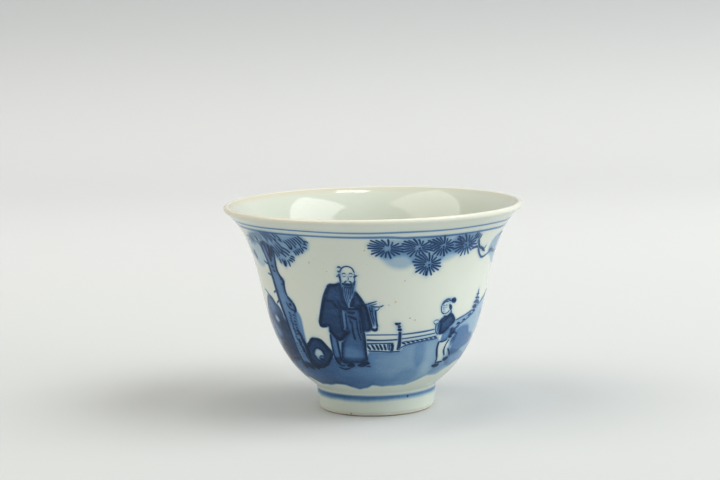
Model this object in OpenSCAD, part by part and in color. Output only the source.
// Porcelain teacup: a thrown bowl on a turned foot ring, painted in cobalt and coated with clear glaze.
// Origin: middle of the foot, on the table. +Z is up, and the painted front faces -Y.

/* [Cup] */
// Diameter over the lip
rim_d = 65; // [54:0.5:78]
// Height from the table to the top of the lip
cup_h = 45; // [37.5:0.5:54]

/* [Bowl curve] */
// Diameter at the belly, where the lower curve meets the flare
belly_d = 48.8; // [40.6:0.2:58.6]
// Height of the belly above the table
belly_h = 25.5; // [21:0.1:31]
// Lean of the wall at the belly, in degrees from upright
belly_lean = 11.5; // [6:0.5:18]
// Slope of the bowl where it leaves the foot, in degrees from level
spread = 38; // [30:1:46]
// Lean of the wall at the lip, in degrees from upright
flare_lean = 54; // [40:1:60]

/* [Wall] */
// Whole wall at the lip, with both coats of glaze
lip_wall = 1.3; // [1.1:0.05:2]
// Whole wall at the belly, with both coats of glaze
belly_wall = 1.9; // [1.5:0.05:2.6]
// Whole wall just above the foot, with both coats of glaze
foot_shoulder_wall = 4.4; // [3.4:0.1:5.4]
// Whole thickness of the floor at its middle, with both coats of glaze
floor_wall = 2.5; // [1.8:0.1:3.4]
// Thickness of the glaze
glaze_t = 0.3; // [0.2:0.02:0.45]
// Thickness of the cobalt paint under the glaze
cobalt_t = 0.08; // [0.04:0.01:0.12]

/* [Foot] */
// Outer diameter of the foot at the table
foot_d = 25.2; // [20:0.2:30]
// Outer diameter of the foot where it meets the bowl
foot_top_d = 26.2; // [21:0.2:31]
// Height of the foot, up to the joint with the bowl
foot_h = 5.3; // [4:0.1:7]
// Thickness of the foot's wall, with both coats of glaze
foot_wall = 2.4; // [1.8:0.1:3.2]
// Height of the bare edge that the glaze leaves free
bare_h = 0.9; // [0.5:0.1:1.3]
// Bevel on both corners of the resting edge
foot_bevel = 0.35; // [0.2:0.05:0.5]

/* [Painted lines] */
// How far the middle of the upper rim line lies below the top of the lip
upper_line_drop = 3; // [1.8:0.1:4.5]
// How far the middle of the lower rim line lies below the upper one
line_gap = 1.2; // [0.9:0.1:2.5]
// Width of a rim line
rim_line_w = 0.5; // [0.3:0.05:0.8]
// How far the middle of the foot line lies below the joint of foot and bowl
foot_line_drop = 1.1; // [0.7:0.1:2]
// Width of the foot line
foot_line_w = 0.9; // [0.5:0.1:1.2]

/* [Hidden] */
$fn = 128;

porcelain = [0.90, 0.90, 0.86];
glaze_white = [0.86, 0.90, 0.86];
lip_buff = [0.85, 0.81, 0.70];
cobalt = [0.17, 0.26, 0.50];
cobalt_pale = [0.42, 0.54, 0.72];

// Share of a curve's span that each of its handles takes, from the foot up to the lip.
lower_handles = [0.26, 0.52];
upper_handles = [0.42, 0.28];
floor_handles = [0.27, 0.40];
curve_steps = 22;
fillet = 0.9;      // length of the soft corner between foot and bowl, along each side
fillet_steps = 6;  // even, because the joint of foot and bowl runs through the middle one
lip_steps = 10;
slack = 1;         // how far a cutting shape runs past what it cuts

// ---- Curves in the section plane: x is the radius and y the height ----

function bezier(a, b, c, d, steps) =
    [for (i = [0:steps]) let (t = i / steps, s = 1 - t)
        s * s * s * a + 3 * s * s * t * b + 3 * s * t * t * c + t * t * t * d];
function part_of(path, first, last) = [for (i = [first:last]) path[i]];
// Leaves out the first point, which the curve before it ends on.
function joined(path) = part_of(path, 1, len(path) - 1);
function open_ended(path) = part_of(path, 0, len(path) - 2);
function reversed(path) = [for (i = [len(path) - 1:-1:0]) path[i]];
function leaning(angle) = [sin(angle), cos(angle)];
// Unit normal to the right of the way the path runs, which is outwards on an upward path.
function normal(path, i) =
    let (a = path[max(i - 1, 0)], b = path[min(i + 1, len(path) - 1)], d = b - a)
    [d.y, -d.x] / norm(d);
function moved_in(path, depths) =
    [for (i = [0:len(path) - 1]) path[i] - depths[i] * normal(path, i)];
function coat(path, depth) = moved_in(path, [for (p = path) depth]);

lip_r = lip_wall / 2;
lip_mid = [rim_d / 2 - lip_r, cup_h - lip_r];                       // middle of the rounded lip
lip_out = lip_mid + lip_r * [cos(flare_lean), -sin(flare_lean)];    // where the wall meets it
belly = [belly_d / 2, belly_h];
foot_corner = [foot_top_d / 2, foot_h];
foot_wall_dir = (foot_corner - [foot_d / 2, 0]) / norm(foot_corner - [foot_d / 2, 0]);
spread_dir = [cos(spread), sin(spread)];
shoulder = foot_corner + fillet * spread_dir;
lower_span = norm(belly - shoulder);
upper_span = norm(lip_out - belly);

foot_side = [foot_corner - (foot_h - bare_h) / foot_wall_dir.y * foot_wall_dir,
             foot_corner - fillet * foot_wall_dir];
foot_fillet = bezier(foot_side[1], foot_corner, foot_corner, shoulder, fillet_steps);
lower_curve = bezier(shoulder, shoulder + lower_handles[0] * lower_span * spread_dir,
                     belly - lower_handles[1] * lower_span * leaning(belly_lean), belly, curve_steps);
upper_curve = bezier(belly, belly + upper_handles[0] * upper_span * leaning(belly_lean),
                     lip_out - upper_handles[1] * upper_span * leaning(flare_lean), lip_out, curve_steps);
bowl_outside = concat(lower_curve, joined(upper_curve));
outside = concat([foot_side[0]], foot_fillet, joined(bowl_outside));   // glazed face, foot to lip

function lip_point(radius, angle) = lip_mid + radius * [cos(angle), sin(angle)];
lip_from = -flare_lean;       // angle at which the rounded lip leaves the outer face
lip_to = 180 - flare_lean;    // and the angle at which it meets the inner one
function lip_arc(radius) =
    [for (i = [0:lip_steps]) lip_point(radius, lip_from + (lip_to - lip_from) * i / lip_steps)];

// Face of the body under the outer glaze.
paste_outside = concat(open_ended(coat(outside, glaze_t)), [lip_point(lip_r - glaze_t, lip_from)]);
joint_at = 1 + fillet_steps / 2;       // the point where foot and bowl meet
joint = paste_outside[joint_at];
joint_h = joint.y;

function smooth(t) = t * t * (3 - 2 * t);
wall_depths = concat(
    [for (i = [0:curve_steps])
        foot_shoulder_wall + (belly_wall - foot_shoulder_wall) * smooth(i / curve_steps)],
    [for (i = [1:curve_steps]) belly_wall + (lip_wall - belly_wall) * smooth(i / curve_steps)]);
bowl_inside = moved_in(bowl_outside, wall_depths);
floor_h = joint_h - glaze_t + floor_wall;
floor_edge = bowl_inside[0];
floor_curve = bezier([0, floor_h], [floor_handles[1] * floor_edge.x, floor_h],
                     floor_edge - floor_handles[0] * floor_edge.x * spread_dir, floor_edge, curve_steps);
// Glazed face inside, from the middle of the floor to the lip, and the face of the body under it.
inside = concat(floor_curve, open_ended(joined(bowl_inside)), [lip_point(lip_r, lip_to)]);
paste_inside = concat([[0, floor_h - glaze_t]], open_ended(joined(coat(inside, -glaze_t))),
                      [lip_point(lip_r - glaze_t, lip_to)]);

recess_top_r = foot_top_d / 2 - foot_wall;
recess_rest_r = foot_d / 2 - foot_wall;
function recess_r(h) = recess_rest_r + (recess_top_r - recess_rest_r) * h / foot_h;
ceiling_h = joint_h - glaze_t;         // glazed underside of the bowl, inside the foot
rest_out_r = foot_d / 2 - glaze_t;
function bare_inner_r(h) = recess_r(h) + glaze_t;

module revolved(points) rotate_extrude() polygon(points);

// ---- The fired body ----

module bowl() {
    color(porcelain) revolved(concat(
        part_of(paste_outside, joint_at, len(paste_outside) - 2), lip_arc(lip_r - glaze_t),
        reversed(open_ended(paste_inside)), [[0, joint_h]]));
}

module foot_ring() {
    color(porcelain) revolved(concat(
        [[rest_out_r - foot_bevel, 0], [rest_out_r, foot_bevel]],
        part_of(paste_outside, 0, joint_at),
        [[bare_inner_r(joint_h), joint_h], [bare_inner_r(foot_bevel), foot_bevel],
         [bare_inner_r(foot_bevel) + foot_bevel, 0]]));
}

// ---- Glaze ----

module outer_glaze() {
    color(glaze_white) difference() {
        revolved(concat(outside, reversed(paste_outside)));
        painting();
    }
}

module lip_glaze() {
    color(lip_buff) revolved(concat(lip_arc(lip_r), reversed(lip_arc(lip_r - glaze_t))));
}

module inner_glaze() {
    color(glaze_white) revolved(concat(inside, reversed(paste_inside)));
}

module base_glaze() {
    color(glaze_white) revolved([
        [0, joint_h], [bare_inner_r(joint_h), joint_h], [bare_inner_r(bare_h), bare_h],
        [recess_r(bare_h), bare_h], [recess_r(ceiling_h), ceiling_h], [0, ceiling_h],
    ]);
}

// ---- Cobalt painting, a thin layer between the body and the outer glaze ----

paint_face = coat(outside, glaze_t - cobalt_t);
upper_line_h = cup_h - upper_line_drop;
lower_line_h = upper_line_h - line_gap;
picture_low = foot_h;
picture_high = lower_line_h;
function picture_h(percent) = picture_low + (picture_high - picture_low) * percent / 100;
paint_radius = [for (p = paint_face) [p.y, p.x]];

module paint_band(low, high) {
    rotate_extrude() intersection() {
        polygon(concat(paint_face, reversed(paste_outside)));
        translate([0, low]) square([rim_d, high - low]);
    }
}

// A patch of paint. Its outline is in degrees round the cup from the front, and percent of the
// height between the foot joint and the lower rim line. It faces the azimuth toward.
module patch(toward, outline) {
    heights = [for (p = outline) picture_h(p.y)];
    intersection() {
        paint_band(min(heights) - slack, max(heights) + slack);
        rotate([90, 0, toward]) linear_extrude(rim_d)
            polygon([for (i = [0:len(outline) - 1])
                [lookup(heights[i], paint_radius) * sin(outline[i].x - toward), heights[i]]]);
    }
}

module line_at(height, width) paint_band(height - width / 2, height + width / 2);
module upper_rim_line() color(cobalt) line_at(upper_line_h, rim_line_w);
module lower_rim_line() color(cobalt) line_at(lower_line_h, rim_line_w);
module foot_line() color(cobalt) line_at(foot_h - foot_line_drop, foot_line_w);

ground_low = 7;      // percent
ground_high = 15;
module ground_wash() color(cobalt_pale) paint_band(picture_h(ground_low), picture_h(ground_high));

scholar_outline = [
    [-5, 16], [-5, 42], [1, 43], [1, 54], [3, 59], [-2, 61], [-8, 68], [-8, 78], [-12, 82],
    [-16, 80], [-17, 72], [-22, 71], [-27, 60], [-29, 46], [-25, 44], [-24, 16],
];
module scholar() color(cobalt) patch(-14, scholar_outline);

attendant_outline = [
    [37, 17], [44, 17], [51, 19], [47, 38], [47, 46], [43, 52], [44, 59], [40, 60], [34, 55],
    [36, 47], [32, 46], [34, 39], [37, 36],
];
module attendant() color(cobalt) patch(41, attendant_outline);

balustrade_front = [[-4, 31], [13, 30], [15, 34], [31, 37], [31, 41.5], [-4, 41.5]];
balustrade_side = [[48, 41], [62, 47], [65, 52], [64, 61], [62, 60], [60, 51], [48, 45]];
module balustrade() {
    color(cobalt) {
        patch(13, balustrade_front);
        patch(56, balustrade_side);
    }
}

holed_rock_outline = [[-38, 18], [-33, 17.5], [-28, 20], [-25.5, 27], [-29, 34], [-34, 36.5], [-39, 34]];
holed_rock_hole = [[-36, 25], [-34, 23], [-32, 27], [-34, 30]];
module holed_rock() {
    color(cobalt) difference() {
        patch(-33, holed_rock_outline);
        patch(-33, holed_rock_hole);
    }
}

trunk_outline = [
    [-55, 17], [-40, 17.5], [-43, 28], [-41, 45], [-43, 56], [-47, 61], [-49, 72], [-51, 84],
    [-51, 90], [-58, 90], [-58, 82], [-56, 62], [-51, 48],
];
module pine_trunk() color(cobalt_pale) patch(-48, trunk_outline);

needles_left = [[-78, 82], [-60, 85], [-59, 98], [-78, 98]];
needles_right = [[-49, 88], [-44, 81], [-38, 87], [-30, 92], [-30, 98], [-49, 98]];
module pine_needles() {
    color(cobalt) {
        patch(-68, needles_left);
        patch(-40, needles_right);
    }
}

branch_outline = [
    [-2, 95], [5, 89], [13, 84], [18, 82], [24, 77], [31, 82], [34, 88], [45, 86], [51, 91],
    [61, 83], [69, 84], [69, 87], [61, 86], [51, 98], [0, 98],
];
module hanging_branch() color(cobalt) patch(32, branch_outline);

tall_rock_outline = [
    [-72, 18], [-56, 18], [-57, 40], [-59, 50], [-64, 58], [-70, 60], [-73, 50],
];
module tall_rock() color(cobalt) patch(-64, tall_rock_outline);

module painting() {
    upper_rim_line();
    lower_rim_line();
    foot_line();
    ground_wash();
    scholar();
    attendant();
    balustrade();
    holed_rock();
    pine_trunk();
    pine_needles();
    hanging_branch();
    tall_rock();
}

bowl();
foot_ring();
outer_glaze();
lip_glaze();
inner_glaze();
base_glaze();
upper_rim_line();
lower_rim_line();
foot_line();
ground_wash();
scholar();
attendant();
balustrade();
holed_rock();
pine_trunk();
pine_needles();
hanging_branch();
tall_rock();
